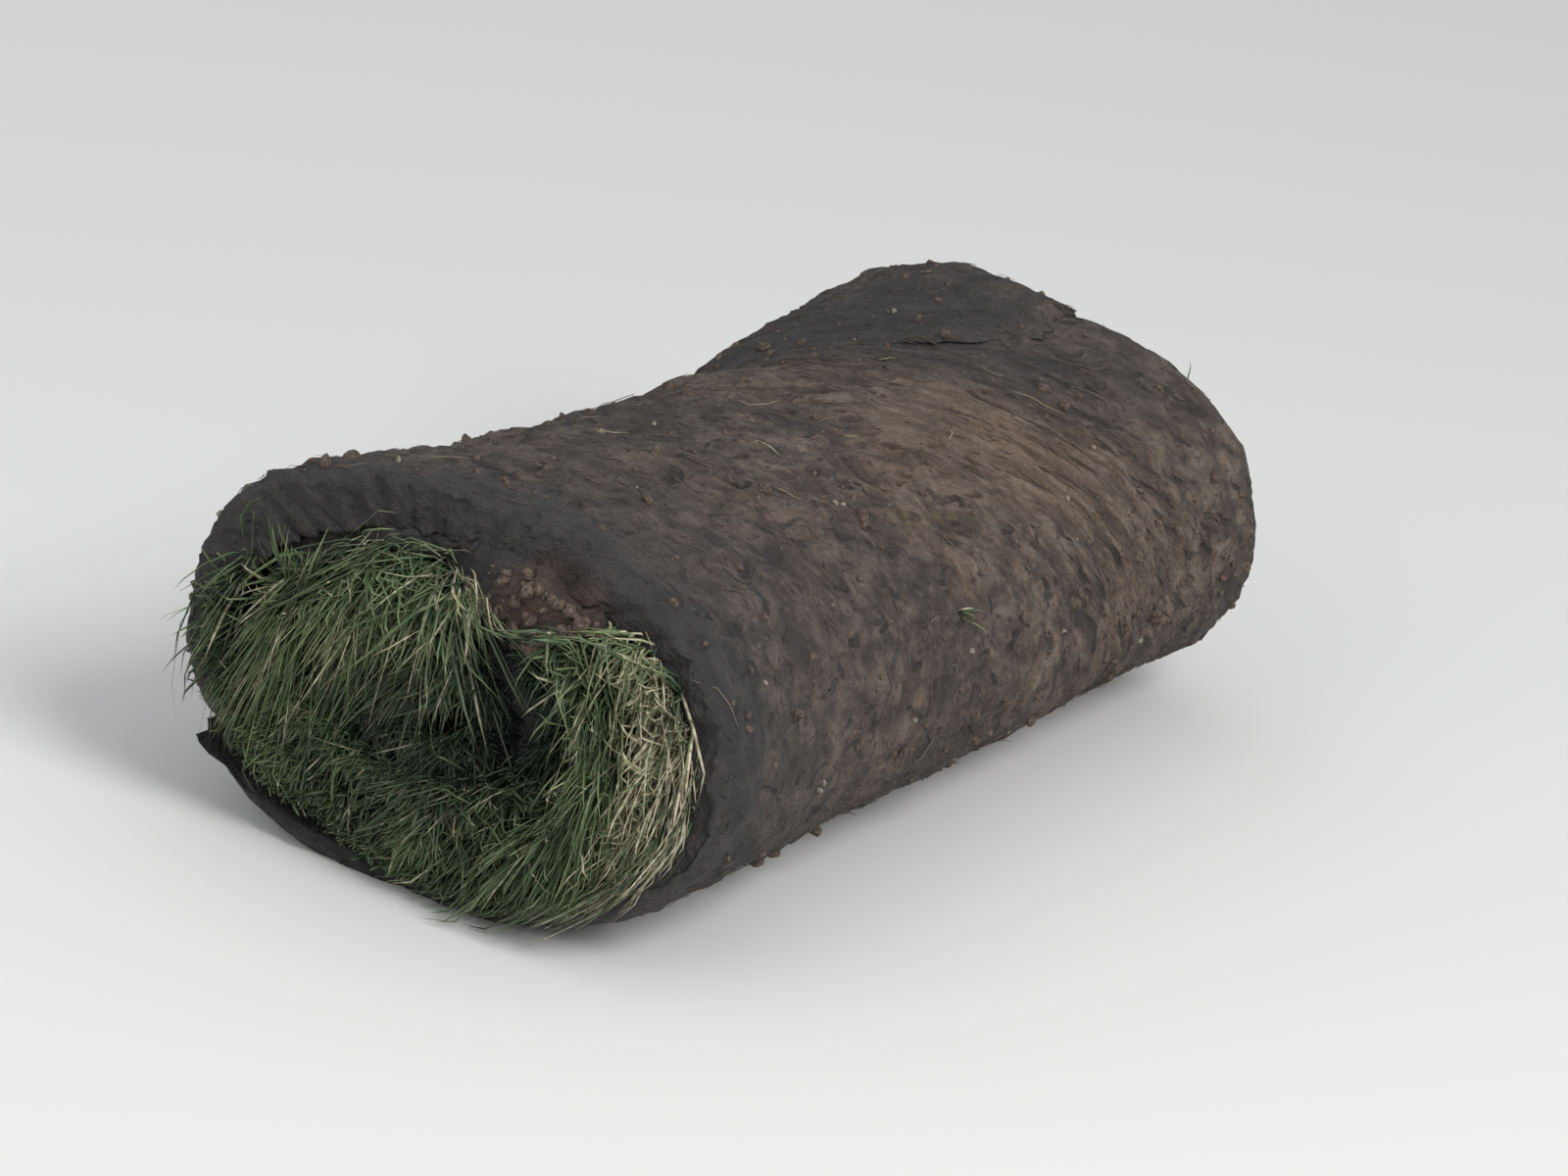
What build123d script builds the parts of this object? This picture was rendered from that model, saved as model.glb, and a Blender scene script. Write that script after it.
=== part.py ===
from build123d import *
import os
from math import cos, exp, pi, radians, sin, sqrt

# A roll of turf: one strip of soil and roots, wound up with its grass on the inside, lying on its side.
# Millimetres. +Y runs along the roll, +X is its right side seen along +Y, and Z 0 is the ground.

# The strip as the turf cutter leaves it
strip_length = 1640.0
strip_width = 610.0
soil_thickness = 15.0
grass_overhang = 20.0  # how far the blades stand out past the cut edges of the soil
grass_set_in = 1.2  # from the soil on each side of the grass

# The mean width and height of the outermost turn: it sags at the middle of the roll
near_width = 304.0
middle_width = 272.0
far_width = 276.0
near_height = 194.0
middle_height = 174.0
far_height = 190.0
fullness = 0.03  # how much squarer than an ellipse a turn has settled
settling = 6.0  # how far the soft underside is pressed flat by its own weight

# The small hollow that is left inside the innermost turn
eye_width = 36.0
eye_height = 26.0

# The free end of the strip lies aslant. Its edge runs low along the left side, crosses over to the top
# part of the way along the roll, and ends past the top on the right.
near_edge_angle = 205.0
far_edge_angle = 80.0
edge_crosses_at = 138.0
edge_slant = 42.0  # a small number makes the crossing abrupt
edge_sink = 0.5  # how far the edge has sunk into the turn below, in turns of depth
edge_sinks_over = 0.2  # turns

# How finely the outlines are drawn
points_per_turn = 24
fine_points = 180
section_gaps = 38


def between(near, middle, far, y):
    """A size at y, on the parabola through its values at the near end, the middle and the far end."""
    along = 2 * y / strip_width
    return middle + (far - near) / 2 * along + ((near + far) / 2 - middle) * along**2


def half_sizes(y):
    """Half the mean width and height of the outermost turn at y."""
    width = between(near_width, middle_width, far_width, y)
    height = between(near_height, middle_height, far_height, y)
    return width / 2, height / 2


def ellipse_length(a, b):
    """The length round an ellipse of half-axes a and b."""
    return pi * (3 * (a + b) - sqrt((3 * a + b) * (a + 3 * b)))


# The strip's length fills the section, so it settles how many turns there are
mean_turn = ellipse_length((middle_width + eye_width) / 4, (middle_height + eye_height) / 4)
turns = strip_length / mean_turn
area_per_turn = pi / 4 * (middle_width * middle_height - eye_width * eye_height) / turns
strip_thickness = area_per_turn / mean_turn
soil_share = soil_thickness / strip_thickness
set_in = grass_set_in / strip_thickness


def edge_angle(y):
    """Where round the roll the strip's free end lies at y, in degrees from +X towards +Z."""
    share = 1 / (1 + exp((edge_crosses_at - y) / edge_slant))
    return near_edge_angle + (far_edge_angle - near_edge_angle) * share


def sink(turn):
    """How far the strip's outer face has sunk near its free end, in turns of depth."""
    share = min(turn / edge_sinks_over, 1.0)
    return edge_sink * (1 - share**2 * (3 - 2 * share))


def reach(half, eye, turn):
    """How far out the strip's outer face is after so many turns, where half is the outermost mean."""
    return half + (half - eye) / turns * (0.5 - turn)


def winding(y, angle_turn, depth_turn):
    """The point at y that is angle_turn round from the free end, at the depth of depth_turn."""
    angle = radians(edge_angle(y)) + 2 * pi * angle_turn
    half_width, half_height = half_sizes(y)
    full = 1 + fullness * sin(2 * angle) ** 2
    x = reach(half_width, eye_width / 2, depth_turn) * full * cos(angle)
    z = reach(half_height, eye_height / 2, depth_turn) * full * sin(angle)
    return x, z


# Sections evenly spaced along the roll
near_end, far_end = -strip_width / 2, strip_width / 2
stations = [near_end + strip_width * k / section_gaps for k in range(section_gaps + 1)]


def outermost(y):
    """Points close together round the outermost turn at y."""
    steps = [k / fine_points for k in range(fine_points)]
    return [winding(y, step, step + sink(step)) for step in steps]


def underside(y):
    """How far the lowest point of the winding is below its centre at y."""
    return -min(z for x, z in outermost(y))


# A spiral is lopsided, so its centre is beside the middle of the roll's width
widest = [x for y in stations for x, z in outermost(y)]
centre_x = -(min(widest) + max(widest)) / 2


def placed(y, angle_turn, depth_turn):
    """A point of the winding in the sketch plane at y, with the settled underside below the ground."""
    x, z = winding(y, angle_turn, depth_turn)
    return x + centre_x, z + underside(y) - settling


def turn_face(y, first_turn):
    """The face inside one turn of the strip's outer side, closed by the step at the strip's end."""
    steps = [first_turn + k / points_per_turn for k in range(points_per_turn + 1)]
    with BuildSketch(Plane.XZ.offset(-y)) as face:
        with BuildLine():
            once_round = Spline(*[placed(y, step, step + sink(step)) for step in steps])
            Line(once_round @ 1, once_round @ 0)
        make_face()
    return face.sketch


def grass_face(y):
    """The thin spiral of grass that shows between the soil turns at an end of the roll."""
    count = round(turns * points_per_turn)
    steps = [set_in + (turns - 2 * set_in) * k / count for k in range(count + 1)]
    with BuildSketch(Plane.XZ.offset(-y)) as face:
        with BuildLine():
            outer = Spline(*[placed(y, step, step + soil_share + set_in) for step in steps])
            inner = Spline(*[placed(y, step, step + 1 - set_in) for step in steps])
            Line(outer @ 0, inner @ 0)
            Line(outer @ 1, inner @ 1)
        make_face()
    return face.sketch


with BuildPart() as turf_roll:
    loft(sections=[turn_face(y, 0.0) for y in stations])
    loft(sections=[turn_face(y, turns) for y in stations], mode=Mode.SUBTRACT)
    extrude(grass_face(near_end), amount=grass_overhang)
    extrude(grass_face(far_end), amount=-grass_overhang)
    # Its own weight presses the underside flat on the ground
    with Locations((0, 0, -settling)):
        Box(2 * near_width, 2 * strip_width, 2 * settling, mode=Mode.SUBTRACT)
turf_roll.part.label = "turf_roll"

os.makedirs("parts", exist_ok=True)
export_step(turf_roll.part, "parts/turf_roll.step")

box = turf_roll.part.bounding_box()
print(f"turns {turns:.2f}, strip thickness {strip_thickness:.1f} mm, soil share {soil_share:.2f}")
print(f"size {box.size.X:.1f} x {box.size.Y:.1f} x {box.size.Z:.1f} mm, centre x {box.center().X:.2f}")
print(f"volume {turf_roll.part.volume / 1e9:.4f} m3")
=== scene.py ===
# %% [markdown]
# A roll of turf. A strip of lawn is cut with a thin mat of soil and roots, and wound up with its grass on
# the inside, so that the roll shows bare soil outside and grass only at its two ends. The CAD model gives
# the roll as one plain solid. Here it gets its real surface: the mat is modelled flat, as it lay in the
# field, roughened, and then rolled up, and thousands of blades, roots and lumps of soil are added.

# %% Load the frame
import math

import bmesh
import bpy
import numpy as np
from mathutils import Matrix, Vector
from mathutils.bvhtree import BVHTree


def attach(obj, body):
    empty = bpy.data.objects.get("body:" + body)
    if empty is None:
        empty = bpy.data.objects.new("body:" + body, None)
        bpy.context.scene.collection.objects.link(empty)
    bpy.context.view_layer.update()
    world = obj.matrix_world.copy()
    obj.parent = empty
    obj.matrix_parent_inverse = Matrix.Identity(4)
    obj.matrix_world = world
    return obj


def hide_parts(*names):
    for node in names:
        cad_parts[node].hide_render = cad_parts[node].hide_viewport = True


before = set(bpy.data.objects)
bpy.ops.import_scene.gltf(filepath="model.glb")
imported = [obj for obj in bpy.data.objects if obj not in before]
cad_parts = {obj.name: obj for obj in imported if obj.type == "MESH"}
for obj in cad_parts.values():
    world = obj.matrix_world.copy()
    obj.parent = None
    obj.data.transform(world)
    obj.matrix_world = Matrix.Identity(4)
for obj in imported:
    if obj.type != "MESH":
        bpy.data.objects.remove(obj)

scene = bpy.context.scene
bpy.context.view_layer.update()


# %% [markdown]
# The roll's own geometry. Turf is a spiral that has sagged: wider than it is high, lower at its middle, and
# pressed flat where it lies. The strip's free end lies aslant, so the angle at which the spiral starts
# changes along the roll. Any point of the flat strip is named by how far along the strip it is, how far
# across it is, and how deep it is below the cut side. One function takes it to its place in the roll.

# %% Sizes of the strip and of the roll, in metres
strip_length = 1.640
strip_width = 0.610
soil_thickness = 0.015
near_end, far_end = -strip_width / 2, strip_width / 2

mean_width = {"near": 0.304, "middle": 0.272, "far": 0.276}
mean_height = {"near": 0.194, "middle": 0.174, "far": 0.190}
eye_width, eye_height = 0.036, 0.026
fullness = 0.03
settling = 0.006

near_edge_angle, far_edge_angle = 205.0, 80.0
edge_crosses_at, edge_slant = 0.138, 0.042
edge_sink, edge_sinks_over = 0.5, 0.2
points_once_round, sections = 180, 39


# %% The winding
def between(sizes, y):
    """A size at y, on the parabola through its values at the near end, the middle and the far end."""
    along = 2 * y / strip_width
    near, middle, far = sizes["near"], sizes["middle"], sizes["far"]
    return middle + (far - near) / 2 * along + ((near + far) / 2 - middle) * along**2


def ellipse_length(a, b):
    return math.pi * (3 * (a + b) - math.sqrt((3 * a + b) * (a + 3 * b)))


mean_turn = ellipse_length((mean_width["middle"] + eye_width) / 4, (mean_height["middle"] + eye_height) / 4)
turns = strip_length / mean_turn
section_area = math.pi / 4 * (mean_width["middle"] * mean_height["middle"] - eye_width * eye_height)
strip_thickness = section_area / strip_length
soil_share = soil_thickness / strip_thickness


def smooth(low_value, high_value, value):
    """0 below low_value, 1 above high_value and an even ease between."""
    share = np.clip((value - low_value) / (high_value - low_value), 0, 1)
    return share**2 * (3 - 2 * share)


def edge_angle(y):
    """Where round the roll the strip's free end lies at y, in radians from +X towards +Z."""
    share = 1 / (1 + np.exp((edge_crosses_at - y) / edge_slant))
    return np.radians(near_edge_angle + (far_edge_angle - near_edge_angle) * share)


def winding(y, angle_turn, depth_turn):
    """Across and up from the roll's centre line, so many turns in from the free end."""
    angle = edge_angle(y) + 2 * math.pi * angle_turn
    full = 1 + fullness * np.sin(2 * angle) ** 2
    half_width, half_height = between(mean_width, y) / 2, between(mean_height, y) / 2
    width = half_width + (half_width - eye_width / 2) / turns * (0.5 - depth_turn)
    height = half_height + (half_height - eye_height / 2) / turns * (0.5 - depth_turn)
    return width * full * np.cos(angle), height * full * np.sin(angle)


def sink(turn):
    """How far the strip's outer face has sunk near its free end, in turns of depth."""
    return edge_sink * (1 - smooth(0, edge_sinks_over, turn))


once_round = np.linspace(0, 1, points_once_round, endpoint=False)
places = np.linspace(near_end, far_end, sections)
outermost = [winding(np.full(once_round.shape, y), once_round, once_round + sink(once_round)) for y in places]
lowest = np.array([z.min() for x, z in outermost])
centre_x = -(min(x.min() for x, z in outermost) + max(x.max() for x, z in outermost)) / 2
print(f"{turns:.2f} turns, strip {strip_thickness * 1000:.1f} mm thick, soil {soil_share:.2f} of it")


def centre_height(y):
    return -np.interp(y, places, lowest) - settling


def round_outside(y, x):
    """How high the round underside of the roll is at x, before the ground presses it flat."""
    half_width, half_height = between(mean_width, y) / 2, between(mean_height, y) / 2
    steepest = 0.98  # of the half width, because beyond it the oval stands upright
    sideways = np.clip((x - centre_x) / half_width, -steepest, steepest)
    return centre_height(y) - half_height * np.sqrt(1 - sideways**2)


# %% [markdown]
# Every centimetre of strip has to take its even share of the winding. The length of a spiral could be worked
# out by a formula, but this one is oval and squared, so it is measured: many points close together along the
# spiral, and the distances between them added up. It comes out a little longer than the strip, because the
# turns were counted on a plain oval half way in, so the distances are scaled to the strip's length.

# %% Measure the spiral
measured_points, beyond_ends = 5000, 0.1
turn_steps = np.linspace(-beyond_ends, turns + beyond_ends, measured_points)
track_x, track_z = winding(np.zeros(turn_steps.shape), turn_steps, turn_steps + soil_share / 2)
track = np.concatenate([[0], np.cumsum(np.hypot(np.diff(track_x), np.diff(track_z)))])
track -= np.interp(0, turn_steps, track)
winding_length = np.interp(turns, turn_steps, track)
track *= strip_length / winding_length
print(f"winding {winding_length:.3f} m long for a strip of {strip_length:.3f} m")


def turn_at(along):
    """How many turns in from the free end a place along the strip is."""
    return np.interp(along, track, turn_steps)


def along_at(turn):
    """How far along the strip a turn is."""
    return np.interp(turn, turn_steps, track)


# %% [markdown]
# Real turns aren't even. Each slides a few millimetres along the roll as it is wound, the inner ones further.
# Slow waves made of three sines with seeded phases give this, because they never jump. Where a part of the
# roll differs, a mask that goes softly from 0 to 1 says so. One marks the notch at the near end, where the
# grass has worn off and the soil of two turns stands out bare. Another marks where the outermost turn presses
# so hard on the next that soil fills the gap.

# %% Uneven turns
slide, inner_slide = 0.003, 0.010
notch_angle, notch_reach, notch_bulge = 65, 29, 0.009
pressed_angle, pressed_reach = 118, 98


def wander(value, wavelength, seed):
    """A smooth random wave between about -1 and 1."""
    pick = np.random.default_rng(seed)
    waves = [np.sin(2 * math.pi * value / (wavelength * stretch) + pick.uniform(0, 2 * math.pi))
             for stretch in (1.0, 0.618, 0.414)]
    return (waves[0] + 0.6 * waves[1] + 0.4 * waves[2]) / 2


def degrees_from(angle, middle):
    """How many degrees an angle is away from the middle, either way round."""
    return np.abs((angle - middle + 180) % 360 - 180)


def around(angle, middle, reach):
    """1 where an angle in degrees is at the middle, falling to 0 at reach degrees from it."""
    return 1 - smooth(0.5 * reach, reach, degrees_from(angle, middle))


def within(angle, first, last, border=5):
    """1 between two angles in degrees, with soft borders."""
    half = (last - first) / 2
    return 1 - smooth(half - border, half + border, degrees_from(angle, (first + last) / 2))


def notch(turn, angle, y):
    """1 in the notch of the near end, where the second and third turn are bare soil."""
    two_turns = smooth(0.9, 1.05, turn) * (1 - smooth(2.8, 3.0, turn))
    return two_turns * around(angle, notch_angle, notch_reach) * smooth(0.2, 0.3, -y)


def pressed(turn, angle, y):
    """1 where turns press so hard on each other that the soil fills the gap between them."""
    outer = (1 - smooth(0.75, 1.05, turn)) * around(angle, pressed_angle, pressed_reach)
    return np.maximum(outer, notch(turn, angle, y) * (1 - smooth(1.9, 2.1, turn)))


def slid(turn):
    """How far a turn has slid along the roll."""
    return slide * wander(turn, 1.7, 11) * smooth(0.3, 1.0, turn) + inner_slide * smooth(1.6, 3.4, turn)


print("notch mask in its middle:", float(notch(2.0, notch_angle, near_end)))


# %% [markdown]
# Now one function can roll up any point of the strip. It bends the strip round the spiral, crumbles its cut
# edges round, sinks and thins its free end, and presses the underside flat on the ground. The mat, the blades
# and the roots all go through it, so they fit each other wherever they are. Bending with a curve modifier
# would be the usual way, but it knows nothing of an oval section that changes along the roll.

# %% Roll up a point of the strip
rim_round, rim_loss = 0.016, 0.42
edge_feather, feathered_turns = 0.42, 0.1
overfill, rim_fill = 1.06, 0.7
mat_reach = 1.2  # depth shares up to this belong to the mat, and deeper ones to the grass
edge_thinning = 0.04
press_depth = 0.025


def worn(away):
    """How much of the mat's thickness is lost so far away from a cut edge, where it has crumbled round."""
    inside = np.clip(away / rim_round, 0, 1)
    return rim_loss * (1 - np.sqrt(1 - (1 - inside) ** 2))


def rolled(along, across, depth_share):
    """The place in the roll of points of the flat strip. depth_share is 0 at the cut side of the soil, 1 at
    its grass side, and goes on to 1 / soil_share at the next turn."""
    turn = turn_at(along)
    y = across + slid(turn)
    angle = np.degrees(edge_angle(np.clip(y, near_end, far_end))) + 360 * turn
    y = y - notch_bulge * notch(turn, angle, y)
    held = np.clip(y, near_end, far_end)

    in_mat = depth_share < mat_reach
    side_lost = worn(strip_width / 2 - np.abs(across))
    spread = 1 + ((overfill + rim_fill * side_lost) / soil_share - 1) * pressed(turn, angle, y)
    depth = depth_share * spread + (side_lost + worn(along)) * (1 - depth_share)
    depth = np.where(in_mat, depth, depth_share)

    corners = smooth(0.02, 0.16, np.abs(across))
    feathered = sink(turn) + edge_feather * (1 - smooth(0, feathered_turns, turn)) * corners
    inwards = soil_share * depth + feathered * np.maximum(1 - depth_share, 0)
    thin = soil_share * spread * (1 - edge_thinning * (1 - depth_share))
    inwards = np.where(in_mat, np.minimum(inwards, thin), inwards)

    x, z = winding(held, turn, turn + inwards)
    x, z = x + centre_x, z + centre_height(held)
    below = round_outside(held, x)
    press = np.maximum(-below, 0) * np.exp(-np.maximum(z - below, 0) / press_depth)
    return np.stack([x, y, np.maximum(z + press, 0.0)], axis=-1)


corner_test = rolled(np.array([0.0, 0.4, 0.8]), np.array([near_end, 0.0, far_end]), np.zeros(3))
print("three points of the outside:", np.round(corner_test, 3).tolist())


# %% [markdown]
# Camera, light and floor come first, so that every later step can be looked at. The camera stands where the
# photographer stood: low, nearly in line with the roll and a little to its right, with a long lens. The
# picture is turned a little, as things near the edge of a wide photograph are.

# %% Camera
camera_place = Vector((1.648, -3.507, 1.370))
camera_target = Vector((0.012, 0.0, 0.088))
camera_lean = math.radians(12.15)
lens_length = 196.0

camera_data = bpy.data.cameras.new("camera")
camera_data.lens = lens_length
camera_data.sensor_width = 36.0
camera = bpy.data.objects.new("camera", camera_data)
scene.collection.objects.link(camera)
camera.location = camera_place
sight = (camera_target - camera_place).to_track_quat("-Z", "Y").to_matrix().to_4x4()
camera.rotation_mode = "QUATERNION"
camera.rotation_quaternion = (sight @ Matrix.Rotation(camera_lean, 4, "Z")).to_quaternion()
scene.camera = camera
print(f"camera {(camera_target - camera_place).length:.2f} m away")


# %% Floor
floor_size = 30.0
bpy.ops.object.select_all(action="DESELECT")
bpy.ops.mesh.primitive_plane_add(size=floor_size, location=(0, 0, 0))
floor = bpy.context.object
floor.name = "floor"


# %% [markdown]
# The light is plain: an even pale sky, and one wide lamp high on the right, which models the round top and
# lets the left side fall into soft shade as in the photograph.

# %% Light
def area_lamp(name, place, target, size, power):
    lamp = bpy.data.objects.new(name, bpy.data.lights.new(name, "AREA"))
    lamp.data.shape = "DISK"
    lamp.data.size = size
    lamp.data.energy = power
    lamp.location = place
    lamp.rotation_mode = "QUATERNION"
    lamp.rotation_quaternion = (Vector(target) - Vector(place)).to_track_quat("-Z", "Y")
    scene.collection.objects.link(lamp)


area_lamp("window", (2.6, -1.2, 2.6), (0, 0, 0.1), 2.0, 95)
area_lamp("fill", (-1.0, -3.2, 1.6), (0, 0, 0.1), 2.4, 22)

scene.view_settings.view_transform = "Standard"
sky_strength = 0.62
world = bpy.data.worlds.new("sky")
scene.world = world
world.use_nodes = True
sky = world.node_tree.nodes["Background"]
sky.inputs["Color"].default_value = (0.93, 0.96, 1.0, 1.0)
sky.inputs["Strength"].default_value = sky_strength


# %% [markdown]
# Materials are written as small sums. A wire is a number that varies over the surface, and Python's own signs
# work on it. Every other node comes from one method, which sets the node's choices first and then its inputs.

# %% A small language for materials
class Wire:
    """A number socket of a material, on which + - * and the like add the nodes that do the sum."""

    def __init__(self, finish, socket):
        self.finish, self.socket = finish, socket

    def sum(self, operation, *others):
        values = {i: value for i, value in enumerate((self, *others))}
        return self.finish.number("ShaderNodeMath", {"operation": operation}, values)

    def __add__(self, other):
        return self.sum("ADD", other)

    def __mul__(self, other):
        return self.sum("MULTIPLY", other)

    def __sub__(self, other):
        return self.sum("SUBTRACT", other)

    def __rsub__(self, other):
        return self.finish.number("ShaderNodeMath", {"operation": "SUBTRACT"}, {0: other, 1: self})

    def __pow__(self, other):
        return self.sum("POWER", other)

    __radd__, __rmul__ = __add__, __mul__

    def clear_of(self, start, end):
        """0 up to start, 1 from end on, and an even ease between."""
        settings = {"interpolation_type": "SMOOTHSTEP"}
        inputs = {"Value": self, "From Min": start, "From Max": end}
        return self.finish.number("ShaderNodeMapRange", settings, inputs)

    def ridge(self, sharpness):
        """Thin bright lines where a noise crosses its middle value."""
        away = (self - 0.5).sum("ABSOLUTE")
        return (1 - away * 2) ** sharpness


class Finish:
    """A material with one Principled shader."""

    def __init__(self, name, **shine):
        self.material = bpy.data.materials.new(name)
        self.material.use_nodes = True
        self.nodes, self.links = self.material.node_tree.nodes, self.material.node_tree.links
        self.shader = self.nodes["Principled BSDF"]
        for socket, value in shine.items():
            self.shader.inputs[socket.replace("_", " ")].default_value = value

    def node(self, kind, settings=None, inputs=None):
        made = self.nodes.new(kind)
        for name, value in (settings or {}).items():
            setattr(made, name, value)
        for name, value in (inputs or {}).items():
            self.feed(made.inputs[name], value)
        return made

    def feed(self, socket, value):
        if isinstance(value, Wire):
            value = value.socket
        if isinstance(value, bpy.types.NodeSocket):
            self.links.new(value, socket)
        else:
            socket.default_value = value

    def number(self, kind, settings=None, inputs=None, output=0):
        return Wire(self, self.node(kind, settings, inputs).outputs[output])

    def attribute(self, name, output="Vector"):
        return self.node("ShaderNodeAttribute", {"attribute_name": name}).outputs[output]

    def stretched(self, vector, scale, turn):
        """A vector turned about its third direction and then scaled."""
        inputs = {"Vector": vector, "Rotation": (0, 0, turn), "Scale": scale}
        return self.node("ShaderNodeMapping", {"vector_type": "POINT"}, inputs).outputs["Vector"]

    def noise(self, vector, scale, detail=3.0, roughness=0.55, distortion=0.0):
        inputs = {"Vector": vector, "Scale": scale, "Detail": detail, "Roughness": roughness,
                  "Distortion": distortion}
        return self.number("ShaderNodeTexNoise", {"noise_dimensions": "3D"}, inputs)

    def cells(self, vector, scale):
        """The distance to the nearest of many scattered points."""
        inputs = {"Vector": vector, "Scale": scale}
        return self.number("ShaderNodeTexVoronoi", {"feature": "F1"}, inputs, "Distance")

    def axis(self, vector, letter):
        """One of the three numbers of a vector."""
        return self.number("ShaderNodeSeparateXYZ", None, {"Vector": vector}, letter)

    def patch(self, place, middle, size, wave):
        """1 within an uneven patch about so large on each side of its middle, and 0 outside it."""
        kind = "ShaderNodeVectorMath"
        away = self.node(kind, {"operation": "SUBTRACT"}, {0: place, 1: middle}).outputs["Vector"]
        away = self.node(kind, {"operation": "DIVIDE"}, {0: away, 1: size}).outputs["Vector"]
        away = self.number(kind, {"operation": "LENGTH"}, {0: away}, "Value")
        return (away + wave * 0.9).clear_of(1.6, 0.95)

    def blend(self, share, first, second):
        """Colours first and second, mixed by a share from 0 to 1."""
        made = self.node("ShaderNodeMix", {"data_type": "RGBA"})
        self.feed(made.inputs["Factor"], share)
        colours = [socket for socket in made.inputs if socket.type == "RGBA"]
        self.feed(colours[0], first)
        self.feed(colours[1], second)
        return next(socket for socket in made.outputs if socket.type == "RGBA")

    def bump(self, height, distance, strength=1.0):
        inputs = {"Height": height, "Distance": distance, "Strength": strength}
        self.feed(self.shader.inputs["Normal"], self.node("ShaderNodeBump", None, inputs).outputs["Normal"])

    def give(self, piece):
        piece.data.materials.clear()
        piece.data.materials.append(self.material)


def colour(red, green, blue):
    """A colour as picked on a screen, from 0 to 255, as the shader's linear values."""
    levels = [value / 255 for value in (red, green, blue)]
    return tuple(v / 12.92 if v <= 0.04045 else ((v + 0.055) / 1.055) ** 2.4 for v in levels) + (1.0,)


# %% [markdown]
# The floor is only there to catch the shadow. A plain matt pale grey keeps it out of the way, and shows at
# once whether the language works.

# %% Floor finish
pale_grey = colour(226, 225, 222)
floor_finish = Finish("plain_floor", Roughness=0.9)
floor_finish.feed(floor_finish.shader.inputs["Base Color"], pale_grey)
floor_finish.give(floor)
print("floor colour:", [round(v, 2) for v in pale_grey])


# %% [markdown]
# Soil held together by roots. The blade of the turf cutter leaves streaks that run along the strip, and so
# round the roll. Between them are clods, dark pits, grains and a few pale root threads. A picture of soil
# would repeat and show seams, so the material is layers of noise from coarse to fine. Those of the streaks
# and pits read where they are on the flat strip, from an attribute that the mesh keeps, so they follow every
# turn. On top of them are the parts that differ: painted shade, partly real damp, darkens the last stretch
# before the free end, both rims, the soil low down and towards the near end. The soil is reddish in the
# notch, a warm pool of painted light lies on one patch of the right side, and one spot of the top is darker.

# %% Parts of the roll with a colour of their own, and with painted light and shade
one_turn_along = float(along_at(1.0))
notch_middle, notch_size = (0.048, near_end, 0.148), (0.030, 0.030, 0.030)
dark_spot_middle, dark_spot_size = (-0.015, -0.003, 0.167), (0.055, 0.017, 0.030)
# Where a warm pool of painted light lies on the right side:
warm_light_middle, warm_light_size = (0.050, 0.085, 0.160), (0.065, 0.080, 0.050)
strongest_damp_and_shade = 0.84


def damp_and_shade_parts(soil, strip, place, border_noise):
    """Painted shade, partly real damp, on the soil, from 0 to 1. Each part's border wanders with the given
    noise.
    """
    along, across = soil.axis(strip, "X"), soil.axis(strip, "Y")
    above = soil.axis(place, "Z")
    before_edge = (along + border_noise * 0.12).clear_of(0.26, 0.10)
    past_edge = (along + border_noise * 0.04).clear_of(-0.01, 0.06)
    beside_edge = (along + border_noise * 0.06).clear_of(one_turn_along - 0.06, one_turn_along + 0.04)
    near_rim = (across * -1 + border_noise * 0.09).clear_of(0.275, 0.345)
    near_third = (across * -1 + border_noise * 0.16).clear_of(0.06, 0.32)
    far_rim = (across + border_noise * 0.09).clear_of(0.30, 0.36) * (above + border_noise * 0.05).clear_of(0.185, 0.13)
    low_down = (above + border_noise * 0.07).clear_of(0.135, 0.04)

    # Painted shade, partly real damp: darker on the free end's last stretch, at both rims, towards the near
    # end and low down.
    damp_and_shade = before_edge * past_edge * 0.27 + before_edge * 0.43 + beside_edge * 0.42
    damp_and_shade = damp_and_shade * across.clear_of(-0.02, 0.08) * (1 - across.clear_of(0.22, 0.34) * 0.4)
    damp_and_shade = damp_and_shade + near_rim * 0.55 + near_third * 0.44 + low_down * 0.45 + far_rim * 0.35
    return damp_and_shade.sum("MINIMUM", strongest_damp_and_shade)


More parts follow.
